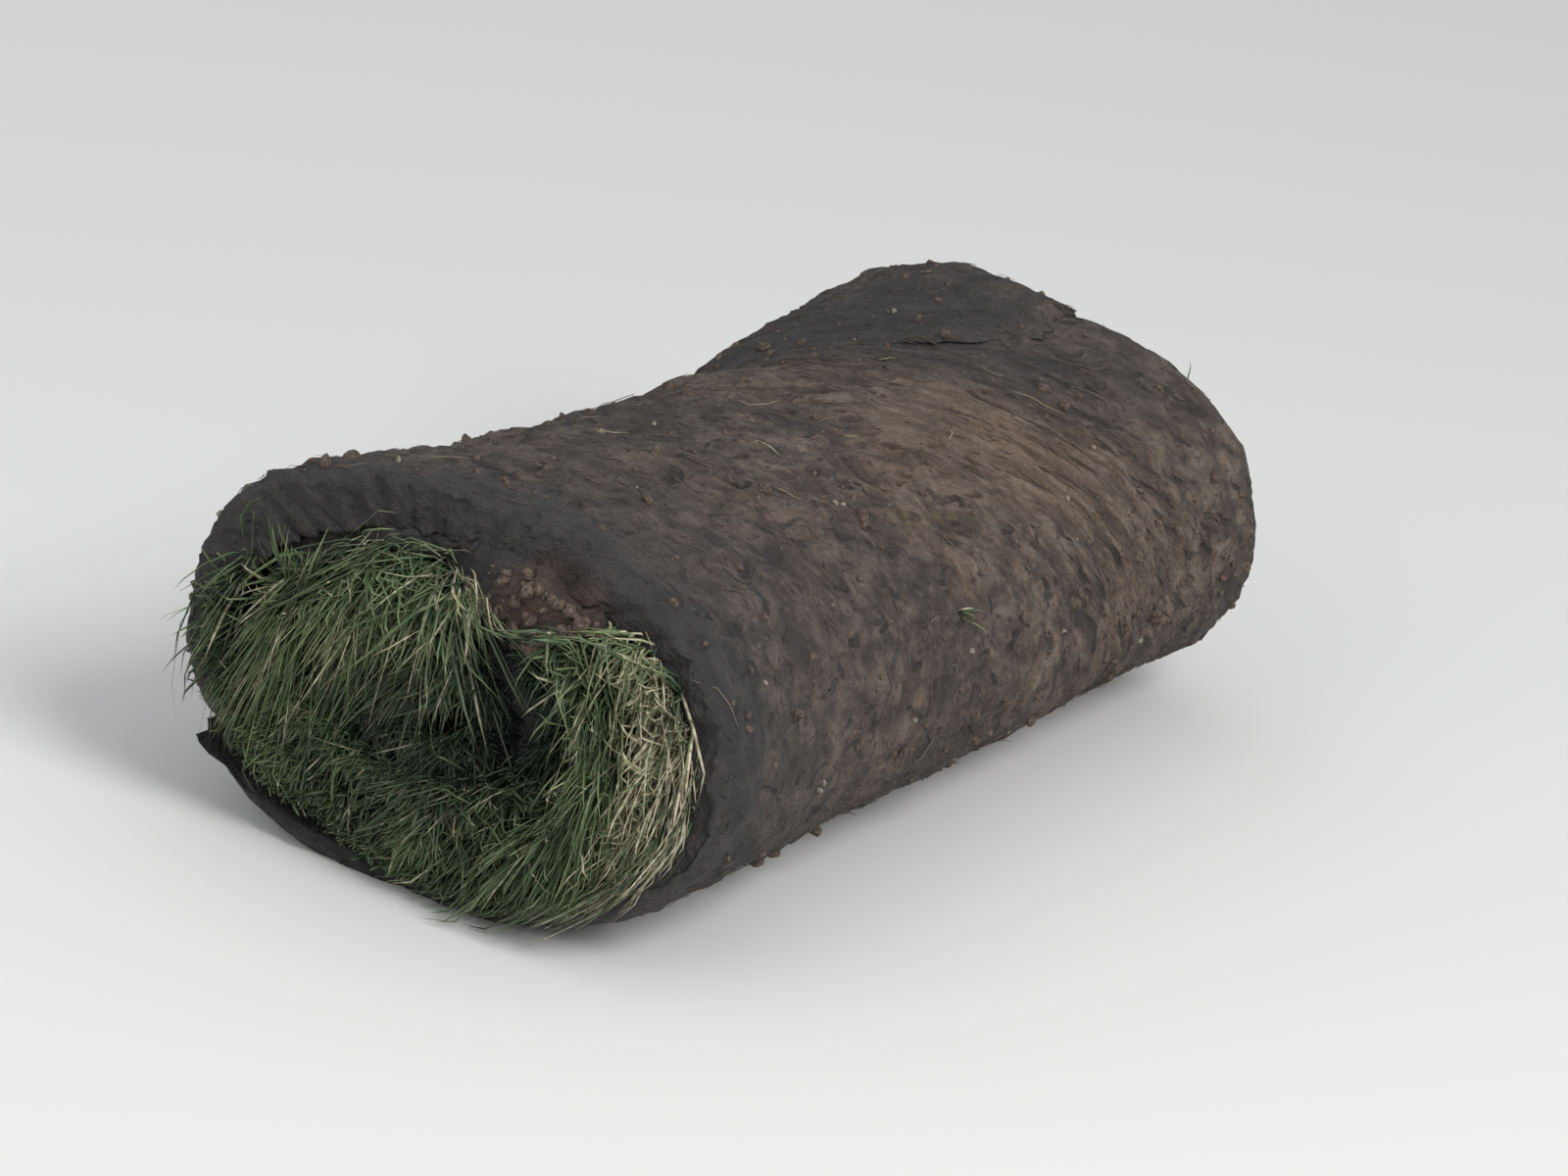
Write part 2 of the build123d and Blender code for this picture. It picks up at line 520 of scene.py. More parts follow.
# %% Soil finish
def soil_finish():
    soil = Finish("damp_soil", Roughness=0.9)
    strip = soil.attribute("strip")
    place = soil.node("ShaderNodeTexCoord").outputs["Object"]

    streaks = soil.noise(soil.stretched(strip, (60, 66, 66), 0.4), 1.0, 4.0, 0.6, 0.8)
    fine_streaks = soil.noise(soil.stretched(strip, (190, 190, 190), -0.3), 1.0, 3.0, 0.6, 0.6)
    pits = soil.noise(soil.stretched(strip, (92, 50, 92), 0.6), 1.0, 2.0, 0.5, 0.6)
    clods = soil.noise(place, 42.0, 4.0, 0.6)
    knobs = soil.noise(soil.stretched(strip, (125, 80, 125), 0.3), 1.0, 3.0, 0.6, 0.4)
    crumbs = soil.noise(place, 240.0, 4.0, 0.7)
    lumps = soil.cells(soil.stretched(strip, (88, 52, 88), 0.5), 1.0)
    grains = soil.cells(place, 300.0)
    patches = soil.noise(place, 8.0, 3.0, 0.55, 0.4)
    shades = soil.noise(soil.stretched(place, (1, 1, 1), 0.7), 5.0, 2.0, 0.5, 0.3)
    threads = soil.noise(soil.stretched(strip, (40, 300, 300), 0.35), 1.0, 2.0, 0.5, 1.3).ridge(16)

    border_noise = soil.noise(place, 13.0, 3.0)
    damp_and_shade = damp_and_shade_parts(soil, strip, place, border_noise)
    mid_body = (soil.axis(strip, "Y").sum("ABSOLUTE") + border_noise * 0.14).clear_of(0.30, 0.12)
    notch_soil = soil.patch(place, notch_middle, notch_size, border_noise)
    dark_spot = soil.patch(place, dark_spot_middle, dark_spot_size, border_noise)
    warm_light_patch = soil.patch(place, warm_light_middle, warm_light_size, border_noise)

    ground = soil.blend(clods.clear_of(0.32, 0.68), colour(72, 62, 55), colour(118, 104, 93))
    reddish = soil.blend(clods.clear_of(0.35, 0.65), colour(52, 42, 36), colour(92, 72, 60))
    layers = [(patches.clear_of(0.38, 0.64) * (0.2 + mid_body * 0.5), colour(122, 99, 81)),
              (streaks.clear_of(0.50, 0.66) * 0.6, colour(138, 123, 109)),
              (shades.clear_of(0.54, 0.38) * 0.62, colour(56, 52, 52)),
              (streaks.clear_of(0.47, 0.32) * 0.6, colour(50, 42, 38)),
              (fine_streaks.clear_of(0.44, 0.3) * 0.28, colour(46, 39, 35)),
              (knobs.clear_of(0.44, 0.30) * 0.5, colour(50, 43, 39)),
              (knobs.clear_of(0.56, 0.70) * 0.4, colour(136, 122, 108)),
              (pits.clear_of(0.41, 0.31) * 0.8, colour(32, 28, 26)),
              (crumbs.clear_of(0.49, 0.32) * 0.65, colour(38, 33, 31)),
              (crumbs.clear_of(0.56, 0.70) * 0.45, colour(148, 133, 118)),
              (lumps.clear_of(0.45, 0.85) * 0.55, colour(46, 39, 36)),
              (threads.clear_of(0.4, 1.0) * 0.14, colour(150, 136, 116)),
              # painted light: a warm pool of light on one patch of the right side
              (warm_light_patch * 0.22, colour(150, 124, 102)),
              # painted shade, partly real damp: a dark bluish grey
              (damp_and_shade, colour(44, 43, 46)),
              # a darker spot on the top
              (dark_spot * 0.5, colour(58, 52, 55)),
              (notch_soil * 0.8, reddish)]
    for share, layer in layers:
        ground = soil.blend(share, ground, layer)
    soil.feed(soil.shader.inputs["Base Color"], ground)

    soil.feed(soil.shader.inputs["Roughness"], 0.95 - damp_and_shade * 0.2)
    height = clods * 0.8 + knobs * 0.7 + crumbs * 0.75 + streaks * 0.15 + fine_streaks * 0.05 + threads * 0.04
    height = height + pits.clear_of(0.31, 0.42) * 0.5 + (1 - lumps) * 0.22 + (1 - grains) * 0.10
    soil.bump(height, 0.008, 0.95)
    return soil


soil = soil_finish()
print("soil finish:", len(soil.nodes), "nodes")


# %% [markdown]
# The soil mat. It could be sculpted straight on the roll, but then its turns wouldn't fit together. So it is
# made as it was in the field: a flat grid the size of the strip, extruded to the thickness of the soil, with
# its outer faces divided finely. The mat is one thing, but two meshes keep each within a fair size: the
# outermost turn, which shows all over, and the turns inside it, which show only at the ends.

# %% Model the mat flat
coarse_along, coarse_across = 0.0084, 0.0100
soil_layers = 3
fine_cuts = 2
seen_depth = 0.055


def choose_faces(piece, wanted):
    """In edit mode, selects the faces whose centre and normal pass the test."""
    bpy.ops.mesh.select_mode(type="FACE")
    bpy.ops.mesh.select_all(action="DESELECT")
    mesh = bmesh.from_edit_mesh(piece.data)
    for face in mesh.faces:
        face.select_set(bool(wanted(face.calc_center_median(), face.normal)))
    bmesh.update_edit_mesh(piece.data)


def flat_mat(name, start, end):
    """A closed mat of soil from start to end along the strip, with its cut side up at height 0."""
    columns = round((end - start) / coarse_along)
    rows = round(strip_width / coarse_across)
    bpy.ops.object.select_all(action="DESELECT")
    bpy.ops.mesh.primitive_grid_add(x_subdivisions=columns, y_subdivisions=rows, size=1,
                                    location=((start + end) / 2, 0, -soil_thickness))
    mat = bpy.context.object
    mat.name = mat.data.name = name
    bpy.ops.transform.resize(value=(end - start, strip_width, 1))
    bpy.ops.object.transform_apply(location=True, rotation=True, scale=True)
    bpy.ops.object.mode_set(mode="EDIT")
    bpy.ops.mesh.select_all(action="SELECT")
    for _ in range(soil_layers):
        move = {"value": (0, 0, soil_thickness / soil_layers)}
        bpy.ops.mesh.extrude_region_move(TRANSFORM_OT_translate=move)
    bpy.ops.mesh.select_all(action="SELECT")
    bpy.ops.mesh.normals_make_consistent(inside=False)
    return mat


def divide_finely(mat, outside):
    """Divides the faces that show: the walls, both sides near the ends and, if asked, the whole outside."""
    def shows(centre, normal):
        near_side = abs(centre.y) > strip_width / 2 - seen_depth
        return abs(normal.z) < 0.5 or near_side or (outside and normal.z > 0.5)

    choose_faces(mat, shows)
    bpy.ops.mesh.subdivide(number_cuts=fine_cuts, smoothness=0)
    bpy.ops.object.mode_set(mode="OBJECT")


mat_split = 1.10
split_along = float(along_at(mat_split))
outer_turn = flat_mat("outer_turn", 0.0, split_along)
divide_finely(outer_turn, outside=True)
inner_turns = flat_mat("inner_turns", split_along, strip_length)
divide_finely(inner_turns, outside=False)
print("flat mats:", [(o.name, len(o.data.polygons)) for o in (outer_turn, inner_turns)])


# %% [markdown]
# A cut mat is lumpy and its edges are torn. Sculpting every lump by hand would take days, so displacements
# with procedural clouds raise lumps, clods and crumbs of three sizes, and slow waves pull the cut edges in
# and out. The corners of the free end are torn back. Each point first notes its flat place for the material,
# and last goes to its place in the roll.

# %% Roughen the mat, then roll it up
relief = [("lumps", 0.060, 0.0045), ("clods", 0.016, 0.0042), ("crumbs", 0.0065, 0.0026)]
torn_waves = [(0.005, 0.09, 3), (0.0025, 0.017, 4)]  # depth, wavelength and seed
near_corner_torn, far_corner_torn = 0.034, 0.012
torn_zone = 0.03  # how far from an edge its tears reach into the mat


def keep_vector(piece, name, values):
    layer = piece.data.attributes.new(name, "FLOAT_VECTOR", "POINT")
    layer.data.foreach_set("vector", np.asarray(values, dtype=np.float32).ravel())


def keep_number(piece, name, values):
    layer = piece.data.attributes.new(name, "FLOAT", "POINT")
    layer.data.foreach_set("value", np.asarray(values, dtype=np.float32).ravel())


def points_of(piece):
    values = np.empty(len(piece.data.vertices) * 3)
    piece.data.vertices.foreach_get("co", values)
    return values.reshape(-1, 3)


def move_points(piece, values):
    piece.data.vertices.foreach_set("co", np.asarray(values, dtype=float).ravel())
    piece.data.update()


def shade_smooth(piece):
    bpy.ops.object.select_all(action="DESELECT")
    piece.select_set(True)
    bpy.context.view_layer.objects.active = piece
    bpy.ops.object.shade_smooth()


def turn_outwards(piece):
    bpy.context.view_layer.objects.active = piece
    bpy.ops.object.mode_set(mode="EDIT")
    bpy.ops.mesh.select_all(action="SELECT")
    bpy.ops.mesh.normals_make_consistent(inside=False)
    bpy.ops.object.mode_set(mode="OBJECT")


def roughen(mat):
    for name, size, strength in relief:
        clouds = bpy.data.textures.new(name, "CLOUDS")
        clouds.noise_scale = size
        clouds.noise_depth = 1
        raised = mat.modifiers.new(name, "DISPLACE")
        raised.texture = clouds
        raised.texture_coords = "LOCAL"
        raised.direction = "NORMAL"
        raised.mid_level = 0.5
        raised.strength = strength
        bpy.context.view_layer.objects.active = mat
        bpy.ops.object.modifier_apply(modifier=name)


def ragged(flat):
    """Pulls the cut edges of the strip in and out by a few millimetres."""
    along, across = flat[:, 0].copy(), flat[:, 1].copy()
    torn = sum(depth * wander(across, wavelength, seed) for depth, wavelength, seed in torn_waves)
    torn += far_corner_torn * smooth(0.265, 0.305, across)
    torn += near_corner_torn * smooth(0.255, 0.305, -across)
    along = along + torn * (1 - smooth(0, torn_zone, along))
    side = smooth(strip_width / 2 - torn_zone, strip_width / 2, np.abs(across)) * np.sign(across)
    apart = 3 * np.sign(across)  # so that the two sides aren't chipped alike
    chipped = 0.0022 * wander(along + apart, 0.07, 5) + 0.0014 * wander(along, 0.013, 6)
    return along, across + side * chipped


def roll_up(mat):
    keep_vector(mat, "strip", points_of(mat))
    roughen(mat)
    flat = points_of(mat)
    along, across = ragged(flat)
    move_points(mat, rolled(along, across, -flat[:, 2] / soil_thickness))
    shade_smooth(mat)
    turn_outwards(mat)
    soil.give(mat)
    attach(mat, "root")
    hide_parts("turf_roll")


for mat in (outer_turn, inner_turns):
    roll_up(mat)
    print(mat.name, "rolled:", np.round([points_of(mat).min(0), points_of(mat).max(0)], 3).tolist())


# %% [markdown]
# Grass blades and roots are all long closed tapers with three sides: a blade is wide and thin, a root is
# nearly round. So one shoot is modelled, and copied along thousands of paths. It starts as a cone with three
# sides, cut across at a few heights and then drawn out and in, because a blade is widest a third of the way
# up.

# %% Model one shoot
shoot_levels = (0.0, 0.3, 0.6, 0.84, 1.0)
shoot_widths = (0.62, 1.0, 0.92, 0.6, 0.0)

bpy.ops.object.select_all(action="DESELECT")
bpy.ops.mesh.primitive_cone_add(vertices=3, radius1=0.5, radius2=0, depth=1, location=(0, 0, 0.5))
shoot = bpy.context.object
shoot.name = "shoot"
bpy.ops.object.transform_apply(location=True, rotation=True, scale=True)
bpy.ops.object.mode_set(mode="EDIT")
for level in shoot_levels[1:-1]:
    bpy.ops.mesh.select_all(action="SELECT")
    bpy.ops.mesh.bisect(plane_co=(0, 0, level), plane_no=(0, 0, 1))
for level, width in zip(shoot_levels[:-1], shoot_widths):
    mesh = bmesh.from_edit_mesh(shoot.data)
    bpy.ops.mesh.select_mode(type="VERT")
    for vertex in mesh.verts:
        vertex.select_set(abs(vertex.co.z - level) < 0.01)
    mesh.select_flush(True)
    bmesh.update_edit_mesh(shoot.data)
    grow = width / (1 - level)
    bpy.ops.transform.resize(value=(grow, grow, 1), center_override=(0, 0, level))
bpy.ops.mesh.select_all(action="SELECT")
bpy.ops.mesh.normals_make_consistent(inside=False)
bpy.ops.object.mode_set(mode="OBJECT")
shoot_points = points_of(shoot)
shoot_faces = [list(face.vertices) for face in shoot.data.polygons]
print("one shoot:", len(shoot_points), "points,", len(shoot_faces), "faces")
bpy.data.objects.remove(shoot)


# %% [markdown]
# Each blade needs its own bend, so a plain array of copies won't do. Geometry Nodes could bend them along
# curves, but here the paths are worked out as numbers, so the copies are made the same way. Every point of
# the shoot goes to its level of a path, and is moved aside by its share of the width. One mesh holds all of
# them, because thousands of objects would be slow.

# %% Copy the shoot along many paths
def unit(vectors):
    return vectors / np.maximum(np.linalg.norm(vectors, axis=-1, keepdims=True), 1e-9)


def shoots_along(name, paths, widths, thicknesses, faces_to, looks):
    """One mesh of shoots. paths has a place for each shoot and level, faces_to the way each flat side looks,
    and looks three numbers for each shoot that its material reads."""
    count = len(paths)
    level = np.array([int(np.argmin(np.abs(np.array(shoot_levels) - z))) for z in shoot_points[:, 2]])
    ahead = unit(np.gradient(paths, axis=1))
    side = unit(np.cross(ahead, faces_to[:, None, :]))
    flat = np.cross(side, ahead)
    across = shoot_points[None, :, 0:1] * widths[:, None, None]
    through = shoot_points[None, :, 1:2] * thicknesses[:, None, None]
    places = paths[:, level] + side[:, level] * across + flat[:, level] * through

    mesh = bpy.data.meshes.new(name)
    sizes = np.array([len(face) for face in shoot_faces])
    corners = np.concatenate([np.array(face) for face in shoot_faces])
    every = (corners[None, :] + np.arange(count)[:, None] * len(shoot_points)).ravel()
    mesh.vertices.add(count * len(shoot_points))
    mesh.vertices.foreach_set("co", places.astype(np.float32).ravel())
    mesh.loops.add(len(every))
    mesh.loops.foreach_set("vertex_index", every.astype(np.int32))
    mesh.polygons.add(count * len(sizes))
    starts = np.concatenate([[0], np.cumsum(np.tile(sizes, count))[:-1]])
    mesh.polygons.foreach_set("loop_start", starts.astype(np.int32))
    mesh.update(calc_edges=True)
    mesh.validate()
    piece = bpy.data.objects.new(name, mesh)
    scene.collection.objects.link(piece)
    keep_vector(piece, "looks", np.repeat(looks, len(shoot_points), axis=0))
    keep_number(piece, "height", np.tile(shoot_points[:, 2], count))
    shade_smooth(piece)
    turn_outwards(piece)
    print(f"{name}: {count} shoots")
    return piece


def add_to_model(piece, finish):
    finish.give(piece)
    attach(piece, "root")
    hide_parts("turf_roll")


# %% [markdown]
# Grass. Blades are a dull green, go yellow-green at their tips, and dry to straw where the sun and wind reach
# them. One green all over would look like plastic, so each blade carries three numbers: how dry it is, with a
# painted highlight on the top left of the near end, how much painted shade darkens it, and a chance value
# that rim light raises a little. A broad noise also makes whole clumps lighter or darker, and the height
# along the blade lightens its tip and darkens its foot.

# %% Grass finish
def grass_finish():
    grass = Finish("grass_blades", Roughness=0.5)
    looks = grass.attribute("looks")
    straw_and_highlight, painted_shade, chance = [grass.axis(looks, letter) for letter in "XYZ"]
    height = Wire(grass, grass.attribute("height", "Fac"))
    place = grass.node("ShaderNodeTexCoord").outputs["Object"]
    mottle = grass.noise(place, 320.0, 2.0)
    clumps = grass.noise(place, 34.0, 2.0)

    blade = grass.blend(chance, colour(47, 69, 50), colour(84, 111, 77))
    tip = grass.blend(chance, colour(86, 107, 70), colour(148, 159, 108))
    blade = grass.blend((height - 0.15).clear_of(0.2, 0.9) * 0.75, blade, tip)
    straw = grass.blend(mottle.clear_of(0.35, 0.65), colour(150, 138, 108), colour(208, 200, 172))
    blade = grass.blend((straw_and_highlight + mottle * 0.3).clear_of(0.6, 0.95), blade, straw)
    blade = grass.blend(clumps.clear_of(0.56, 0.36) * 0.45, blade, colour(37, 47, 36))
    blade = grass.blend(clumps.clear_of(0.56, 0.72) * 0.45, blade, tip)
    # painted shade: a dark cool green where shade falls on the blades
    blade = grass.blend(painted_shade * 0.85, blade, colour(31, 45, 38))
    blade = grass.blend((1 - height).clear_of(0.7, 1.0) * 0.5, blade, colour(60, 58, 40))
    grass.feed(grass.shader.inputs["Base Color"], blade)
    return grass


grass = grass_finish()
print("grass finish:", len(grass.nodes), "nodes")


# %% [markdown]
# At each end the grass stands out from between the turns of soil. Hair particles could be used, but they
# grow on a surface, and here the blades grow out of a gap. So places along the spiral are chosen by chance,
# and masks say how many are kept and how long they grow. The near end is as in the photograph. Its grass
# makes two lobes: a broad one on the left, and a narrow one on the right with a rim of straw. Between them
# are the bare notch and, under it, a hollow whose blades are shorter and darkened with painted shade. The
# outermost gap is pressed shut over the left lobe, so a band of soil without grass runs above it. The far
# end, which can't be seen, has shorter and thinner grass.

# %% Where the grass grows
far_share, far_share_outside = 0.8, 0.25
open_angles, open_share = (234, 407), 0.9  # where the outermost gap of the near end isn't pressed shut
straw_angle, straw_reach = 10, 46
far_shortness, inner_shortening = 0.6, 0.3
hollow_place = (0.042, 0.097)
hollow_length, hollow_reach = 0.35, (0.014, 0.042)
# How far out the near end's grass reaches, as a share of the roll's own reach, by the angle from +X
near_reach = {0: 0.94, 30: 0.97, 42: 0.92, 49: 0.74, 54: 0.58, 60: 0.47, 71: 0.50, 80: 0.66, 100: 0.71,
              122: 0.77, 136: 0.86, 160: 0.82, 198: 0.86, 218: 0.88, 234: 0.83, 250: 0.81, 272: 0.88,
              292: 0.97, 311: 0.95, 336: 0.93, 360: 0.94}
far_reach = 0.93


def angle_of(turn, end):
    """The angle from +X, in degrees, of places so many turns in at one end, which is -1 near and 1 far."""
    return np.degrees(edge_angle(np.full(turn.shape, end * far_end))) + 360 * turn


def outermost_gap(turn):
    """1 in the gap between the outermost turn and the next."""
    return 1 - smooth(0.85, 1.05, turn)


def grass_density(turn, angle, near):
    """How many of the blades a place along the spiral of grass keeps, from 0 to 1."""
    if not near:
        keep = far_share - (far_share - far_share_outside) * outermost_gap(turn)
        return keep * smooth(0.04, 0.14, turn)
    keep = 1 - outermost_gap(turn) * (1 - open_share * within(angle, *open_angles))
    return keep * (1 - notch(turn, angle, near_end))


def straw_rim(turn, angle):
    """1 where the blades have dried to straw: on the right rim, and a little beside the notch."""
    beside_notch = around(angle, 88, 20) * smooth(0.9, 1.0, turn) * (1 - smooth(1.9, 2.1, turn))
    return around(angle, straw_angle, straw_reach) * outermost_gap(turn) + 0.25 * beside_notch


def from_hollow(places):
    """How far places are from the middle of the hollow that painted shade darkens, seen along the roll."""
    return np.hypot(places[..., 0] - hollow_place[0], places[..., 2] - hollow_place[1])


def grass_length(start, turn, angle, near):
    """How long blades grow, as a share of the usual length."""
    inner = 1 - inner_shortening * smooth(1.9, 2.6, turn)
    if not near:
        return far_shortness * inner
    short_below = 1 - 0.5 * around(angle, 222, 60)
    long_above = 1 + 0.35 * around(angle, 125, 60) * (1 - smooth(1.9, 2.2, turn))
    beside_hollow = hollow_length + (1 - hollow_length) * smooth(*hollow_reach, from_hollow(start))
    return inner * short_below * long_above * beside_hollow


tried = np.array([0.5, 1.5, 2.5])
kept_there = grass_density(tried, angle_of(tried, -1), near=True)
print("grass kept half way along the first three turns:", kept_there.round(2).tolist())


# %% [markdown]
# Grass grows in tufts of a few blades that lean alike, and each tuft leans its own way. The blades were bent
# flat when the strip was rolled, and where they are free they spread out and hang down under their own
# weight. So a blade's path starts a little inside its gap, leaves along the roll, fans out from the middle,
# and sinks more the further it goes. Blades that would reach too far are drawn back in, so that the outline
# of each end keeps its shape.

# %% Paths for the blades
tuft_blades = 8
tuft_fan, tuft_turning, blade_fan, blade_turning = 0.24, 0.5, 0.18, 0.3  # spreads of how they lean
set_inside = (0.002, 0.014)
shortest_growth, longest_growth, longest_blade = 0.008, 0.046, 0.044
fall_power, fall_scale, fall_backwards = 1.6, 0.05, 0.3
curl_scale = 0.04
outline_spread, outline_give = 0.03, 0.2  # a blade keeps this share of what it reaches too far
grass_limit, limit_give = strip_width / 2 + 0.026, 0.15
ground_gap = 0.0012


def choose_tufts(pick, wanted, end):
    """Tufts along the spiral of grass at one end: their turn, depth and straw, and how they lean."""
    near = end < 0
    turn = pick.uniform(0.03, turns - 0.08, wanted * 6)
    kept = pick.uniform(0, 1, turn.shape) < grass_density(turn, angle_of(turn, end), near)
    turn = turn[kept][:wanted]
    count = len(turn)
    angle = angle_of(turn, end)
    depth = pick.uniform(0.2, 0.8, count)
    straw = straw_rim(turn, angle) * (pick.uniform(0, 1, count) < 0.75) * near
    top_inwards = 0.2 * around(angle, 112, 55) * (turn < 2.1)
    fan = pick.normal(0.14, tuft_fan, count) - top_inwards - 0.18 * straw
    turning = pick.normal(0, tuft_turning, count) - 0.7 * straw
    limp = pick.uniform(0.1, 0.9, count) + 0.2 * around(angle, 125, 60)
    tall = pick.uniform(0.7, 1.25, count)
    return turn, depth, straw, fan, turning, limp, tall


def held_in(paths, middle, near, spread):
    """Draws blades that reach too far sideways back towards the middle of their end."""
    end = "near" if near else "far"
    half_width, half_height = mean_width[end] / 2, mean_height[end] / 2
    across, up = (paths[:, :, 0] - middle[0]) / half_width, (paths[:, :, 2] - middle[2]) / half_height
    angle = np.degrees(np.arctan2(up, across)) % 360
    most = np.interp(angle, list(near_reach), list(near_reach.values())) if near else far_reach
    most = most + spread[:, None]
    reach = np.hypot(across, up)
    drawn = np.where(reach > most, (most + outline_give * (reach - most)) / reach, 1)
    paths[:, :, 0] = middle[0] + half_width * across * drawn
    paths[:, :, 2] = middle[2] + half_height * up * drawn
    return paths


def grass_paths(pick, wanted, end):
    """Paths for blades at one end, and what their looks depend on."""
    turn, depth, straw, fan, turning, limp, tall = choose_tufts(pick, wanted // tuft_blades, end)
    tuft = np.repeat(np.arange(len(turn)), tuft_blades)
    count = len(tuft)
    turn = np.clip(turn[tuft] + pick.normal(0, 0.006, count), 0.01, turns - 0.05)
    angle = angle_of(turn, end)
    fan = fan[tuft] + pick.normal(0, blade_fan, count)
    turning = turning[tuft] + pick.normal(0, blade_turning, count)
    limp = (limp[tuft] + pick.normal(0, 0.15, count)).clip(0.05, 1.2)

    inside = pick.uniform(*set_inside, count)
    depth = (depth[tuft] + pick.normal(0, 0.1, count)).clip(0.08, 0.92)
    start = rolled(along_at(turn), end * (strip_width / 2 - inside), 1 + depth * (1 / soil_share - 1))
    middle = np.array([centre_x, 0, centre_height(np.array([end * far_end]))[0]])
    outward = unit((start - middle) * (1, 0, 1))
    roundabout = np.stack([-outward[:, 2], np.zeros(count), outward[:, 0]], axis=-1)
    ahead = outward * fan[:, None] + roundabout * turning[:, None]
    ahead[:, 1] = end * pick.uniform(0.55, 1.0, count)
    ahead = unit(ahead)

    near_ground = np.clip(start[:, 2] / 0.06, 0.45, 1)
    length = pick.gamma(8, 0.0034, count).clip(shortest_growth, longest_growth) * near_ground * tall[tuft]
    length = inside + np.minimum(length * grass_length(start, turn, angle, end < 0), longest_blade)
    curl = pick.normal(0, 0.5, count)
    step = np.array(shoot_levels)[None, :, None] * length[:, None, None]
    free = np.maximum(step - inside[:, None, None] * 0.7, 0)
    paths = start[:, None, :] + ahead[:, None, :] * step
    fall = limp[:, None, None] * free**fall_power / fall_scale ** (fall_power - 1)
    paths[:, :, 2:3] -= fall
    paths[:, :, 1:2] -= end * fall_backwards * fall
    paths += roundabout[:, None, :] * curl[:, None, None] * free**2 / curl_scale
    paths = held_in(paths, middle, end < 0, pick.normal(0, outline_spread, count))
    over = np.maximum(end * paths[:, :, 1] - grass_limit, 0)
    paths[:, :, 1] -= end * over * (1 - limit_give)
    paths[:, :, 2] = np.maximum(paths[:, :, 2], ground_gap)
    return paths, turn, angle, outward, tuft, straw


# %% Grow both ends
blade_widths, blade_flatness = (0.0012, 0.0026), 0.28


def grow_end(name, wanted, seed, end):
    pick = np.random.default_rng(seed)
    paths, turn, angle, outward, tuft, straw = grass_paths(pick, wanted, end)
    near, count = end < 0, len(paths)
    tuft_dry = pick.uniform(0, 1, len(straw)) ** 2 * 0.4 + straw
    # painted highlight: blades at the top left of the near end get a little of the straw colour
    straw_and_highlight = tuft_dry[tuft] + pick.uniform(0, 1, count) ** 4 * 0.7 + 0.12 * near * around(angle, 135, 50)
    rim_light = 1.6 * around(angle, 135, 60) * (1 - smooth(1.9, 2.6, turn))
    rim_light = rim_light + around(angle, 30, 50) * (turn < 2)
    # painted shade: blades deep in the roll, at the lower left and round the hollow are darkened; rim light
    # takes some away
    painted_shade = smooth(1.9, 3.2, turn) * 0.5 + 0.35 * around(angle, 230, 90) * pick.uniform(0, 1, count)
    hollow = near * (1 - smooth(0.012, 0.032, from_hollow(paths).min(axis=1)))
    painted_shade = painted_shade - 0.35 * rim_light + hollow
    tuft_chance = pick.uniform(0, 1, len(straw))
    chance = 0.45 * tuft_chance[tuft] + 0.35 * pick.uniform(0, 1, count) + 0.2 * rim_light
    looks = np.stack([straw_and_highlight.clip(0, 1), painted_shade.clip(0, 1), chance.clip(0, 1)], axis=-1)
    faces_to = unit(outward + pick.normal(0, 0.5, (count, 3)))
    widths = pick.uniform(*blade_widths, count)
    piece = shoots_along(name, paths, widths, widths * blade_flatness, faces_to, looks)
    add_to_model(piece, grass)


grow_end("near_grass_a", 8600, 21, -1)
grow_end("near_grass_b", 8600, 22, -1)
grow_end("far_grass", 6400, 23, 1)


# %% [markdown]
# What lies on the roll has to touch its rough surface. A place worked out on the smooth spiral would hover
# over a dip or sink into a lump, so each place is moved to the nearest point of the finished mesh. A
# shrinkwrap modifier does that for a mesh, but here the places are needed before there is one, so a search
# tree of the soil's faces finds them.

# %% Lay things on the rough soil
surface = BVHTree.FromObject(outer_turn, bpy.context.evaluated_depsgraph_get())
lowest_laid = 0.0005


def laid_on_soil(places, lift):
    """The nearest places on the soil's rough surface, each lifted off it by its own small height."""
    laid = np.empty(places.shape)
    for i, (place, height) in enumerate(zip(places, lift)):
        spot, normal, _, _ = surface.find_nearest(Vector(place))
        laid[i] = spot + normal * height
    laid[:, 2] = np.maximum(laid[:, 2], lowest_laid)
    return laid


# %% [markdown]
# Where the strip ends, its grass shows too. On the left side, where the edge of the mat stands open, short
# flattened blades peep out from under it and lie on the turn below. At a few places blades stand up by
# themselves where a root has sprouted through the mat, one tuft on the right side among them, and one dry
# blade lies curled on top. They are made of the same shoot, in one mesh.

# %% Grass under the free edge, and stray tufts
fringe_across, fringe_lengths = (-0.30, 0.0), (0.006, 0.024)
fringe_depth, fringe_rise = 1.2, 0.12  # in thicknesses of the mat, from its cut side
right_tuft = (float(along_at(0.50)), -0.045)
strays = [right_tuft, (0.62, -0.21), (0.66, 0.10)]
stray_blades, stray_lengths, stray_spread, stray_bend = 6, (0.007, 0.016), 0.0015, 0.05
stray_root = -0.001
curl_place, curl_size = (0.018, -0.065, 0.171), 0.007
levels = np.array(shoot_levels)


